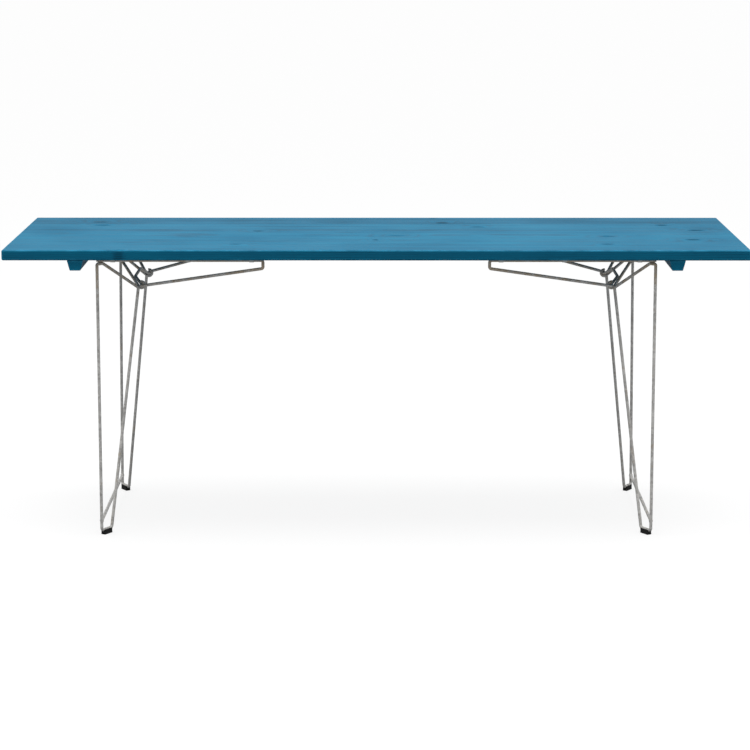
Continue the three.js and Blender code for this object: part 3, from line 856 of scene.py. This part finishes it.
bright_zinc = zinc_plate()
for side in ("left", "right"):
    rail_low, rail_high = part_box(f"{side}_bracket_wire")
    for row_name, row in (("front", -1), ("rear", 1)):
        for number in (1, 2, 3):
            node = f"{side}_{row_name}_clip_{number}"
            low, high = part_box(node)
            middle_x = (low.x + high.x) / 2
            rail_y = row * (rail_high.y - WIRE_RADIUS)
            rail_z = rail_high.z - WIRE_RADIUS
            bend = WIRE_RADIUS + STRAP_PLAY + STRAP / 2
            ear_v = high.z - STRAP / 2 - rail_z
            flat_start = bend + STRAP_CORNER
            corner_v = ear_v - STRAP_CORNER
            line = [(-bend, ear_v + STRAP / 2), *arc(0, 0, bend, 180, 360, 24), (bend, corner_v)]
            line += arc(flat_start, corner_v, STRAP_CORNER, 180, 90, 5)[1:]
            for k in range(1, EAR_STEPS + 1):
                line.append((flat_start + (STRAP_EAR - flat_start) * k / EAR_STEPS, ear_v))
            work = bmesh.new()
            strips = []
            for u, v in line:
                round_end = max(0.0, u - (STRAP_EAR - STRAP_HALF_WIDTH)) / STRAP_HALF_WIDTH
                half = STRAP_HALF_WIDTH * max(EAR_TIP_SHARE, math.sqrt(max(0.0, 1 - round_end ** 2)))
                strips.append([work.verts.new((middle_x + half * w, rail_y - row * u, rail_z + v))
                               for w in (-1, -0.5, 0, 0.5, 1)])
            for near, far in zip(strips, strips[1:]):
                for k in range(4):
                    work.faces.new((near[k], near[k + 1], far[k + 1], far[k]))
            bmesh.ops.recalc_face_normals(work, faces=work.faces)
            mesh = bpy.data.meshes.new(f"{node}_strap")
            work.to_mesh(mesh)
            work.free()
            mesh.shade_smooth()
            mesh.materials.append(bright_zinc)
            strap = bpy.data.objects.new(f"{node}_strap", mesh)
            scene.collection.objects.link(strap)
            plate = strap.modifiers.new("plate", "SOLIDIFY")
            plate.thickness = STRAP
            plate.offset = 0
            burr = strap.modifiers.new("soft_edges", "BEVEL")
            burr.width = 0.2 * MM
            burr.segments = 2
            burr.limit_method = "ANGLE"
            burr.angle_limit = math.radians(50)
            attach(strap, "board")
            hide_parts(node)

# ---------------------------------------------------------------------------------------------
# Screws
# Zinc-plated pan-head wood screws with a cross recess, driven upwards: twelve through the clips,
# eight through the cleats. Each was driven until it stopped, so the crosses stand at all angles.
# ---------------------------------------------------------------------------------------------
SCREW_AROUND = 32
RECESS_SPAN = 0.56
RECESS_WIDTH = 0.17
RECESS_DEPTH = 0.62
RECESS_TAPER = 0.72
CROWN_FLAT = 0.45
RIM_SHARE = 0.30
CROWN_STEPS = 8
RIM_EDGE = 0.12
RIM_UNDERSIDE = 0.97
SHANK_ROOT = 1.05
SHANK_ROOT_LENGTH = 0.5 * MM
POINT_LENGTH = 3
POINT_TIP = 0.15
RECESS_START = 1.6


def pan_head_screw(name, head, head_height, shank, length):
    """One screw, head down, the head's underside at z = 0, turned as a lathe would turn it."""
    profile = [(0.0, -head_height)]
    for k in range(1, CROWN_STEPS + 1):
        a = math.radians(90 * k / CROWN_STEPS)
        crown_radius = head * (CROWN_FLAT + (1 - CROWN_FLAT) * math.sin(a))
        profile.append((crown_radius, -head_height * (RIM_SHARE + (1 - RIM_SHARE) * math.cos(a))))
    profile += [(head, -RIM_EDGE * head_height), (head * RIM_UNDERSIDE, 0.0), (shank * SHANK_ROOT, 0.0),
                (shank, SHANK_ROOT_LENGTH), (shank, length - POINT_LENGTH * shank),
                (shank * POINT_TIP, length), (0.0, length)]
    work = bmesh.new()
    rings = []
    for radius, z in profile:
        if radius == 0.0:
            rings.append([work.verts.new((0, 0, z))])
        else:
            rings.append([work.verts.new((radius * math.cos(2 * math.pi * k / SCREW_AROUND),
                                          radius * math.sin(2 * math.pi * k / SCREW_AROUND), z))
                          for k in range(SCREW_AROUND)])
    for near, far in zip(rings, rings[1:]):
        for k in range(SCREW_AROUND):
            j = (k + 1) % SCREW_AROUND
            corners = [near[k % len(near)], near[j % len(near)], far[j % len(far)], far[k % len(far)]]
            work.faces.new(list(dict.fromkeys(corners)))
    bmesh.ops.recalc_face_normals(work, faces=work.faces)
    mesh = bpy.data.meshes.new(name)
    work.to_mesh(mesh)
    work.free()
    screw = bpy.data.objects.new(name, mesh)
    scene.collection.objects.link(screw)

    work = bmesh.new()
    span, width, depth = head * RECESS_SPAN, head * RECESS_WIDTH, head_height * RECESS_DEPTH
    quarter = [(span, -width), (span, width), (width, width)]
    cross = []
    for _ in range(4):
        cross += quarter
        quarter = [(-v, u) for u, v in quarter]
    mouth = [work.verts.new((u, v, -head_height * RECESS_START)) for u, v in cross]
    bottom = [work.verts.new((u * RECESS_TAPER, v * RECESS_TAPER, -head_height + depth)) for u, v in cross]
    for k in range(len(cross)):
        j = (k + 1) % len(cross)
        work.faces.new((mouth[k], mouth[j], bottom[j], bottom[k]))
    work.faces.new(mouth)
    work.faces.new(bottom[::-1])
    bmesh.ops.recalc_face_normals(work, faces=work.faces)
    tool_mesh = bpy.data.meshes.new(f"{name}_driver")
    work.to_mesh(tool_mesh)
    work.free()
    tool = bpy.data.objects.new(f"{name}_driver", tool_mesh)
    scene.collection.objects.link(tool)
    recess = screw.modifiers.new("recess", "BOOLEAN")
    recess.object = tool
    recess.operation = "DIFFERENCE"
    recess.solver = "EXACT"
    bpy.context.view_layer.update()
    made = bpy.data.meshes.new_from_object(screw.evaluated_get(bpy.context.evaluated_depsgraph_get()))
    for unused in (screw, tool):
        bpy.data.objects.remove(unused)
    made.shade_smooth()
    made.set_sharp_from_angle(angle=math.radians(35))
    return made


def driven_screws_tree():
    """Puts one screw on each point, turned at random about its own axis."""
    tree = bpy.data.node_groups.new("driven_screws", "GeometryNodeTree")
    face = tree.interface
    face.new_socket("Places", in_out="INPUT", socket_type="NodeSocketGeometry")
    face.new_socket("Screw", in_out="INPUT", socket_type="NodeSocketObject")
    face.new_socket("Seed", in_out="INPUT", socket_type="NodeSocketInt")
    face.new_socket("Finish", in_out="INPUT", socket_type="NodeSocketMaterial")
    face.new_socket("Screws", in_out="OUTPUT", socket_type="NodeSocketGeometry")
    given = add(tree, "NodeGroupInput")
    one = add(tree, "GeometryNodeObjectInfo", {"Object": given.outputs["Screw"]})
    turn = add(tree, "FunctionNodeRandomValue", {2: 0.0, 3: math.pi / 2, "Seed": given.outputs["Seed"]},
               data_type="FLOAT")
    turned = add(tree, "ShaderNodeCombineXYZ", {2: turn.outputs[1]})
    as_rotation = add(tree, "FunctionNodeEulerToRotation", {0: turned})
    placed = add(tree, "GeometryNodeInstanceOnPoints", {
        0: given.outputs["Places"], "Instance": one.outputs["Geometry"],
        "Rotation": as_rotation})
    whole = add(tree, "GeometryNodeRealizeInstances", {0: placed})
    finished = add(tree, "GeometryNodeSetMaterial",
                   {0: whole, "Material": given.outputs["Finish"]})
    add(tree, "NodeGroupOutput", {0: finished})
    return tree


screw_tree = driven_screws_tree()
clip_screw_nodes = [f"{side}_{row}_clip_{n}_screw" for side in ("left", "right")
                    for row in ("front", "rear") for n in (1, 2, 3)]
cleat_screw_nodes = [f"{side}_cleat_screw_{n}" for side in ("left", "right") for n in (1, 2, 3, 4)]
for name, nodes, head_height, shank, seed in (
        ("clip_screws", clip_screw_nodes, 2.4 * MM, 1.8 * MM, 5),
        ("cleat_screws", cleat_screw_nodes, 2.6 * MM, 2.0 * MM, 8)):
    low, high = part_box(nodes[0])
    master_mesh = pan_head_screw(f"{name}_master", (high.x - low.x) / 2, head_height, shank,
                                 high.z - low.z - head_height)
    master = bpy.data.objects.new(f"{name}_master", master_mesh)
    scene.collection.objects.link(master)
    places = []
    for node in nodes:
        low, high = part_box(node)
        places.append(((low.x + high.x) / 2, (low.y + high.y) / 2, low.z + head_height))
    points = bpy.data.meshes.new(name)
    points.from_pydata(places, [], [])
    screws = grow(name, points, screw_tree, {"Screw": master, "Seed": seed, "Finish": bright_zinc})
    bpy.data.objects.remove(master)
    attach(screws, "board")
    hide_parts(*nodes)
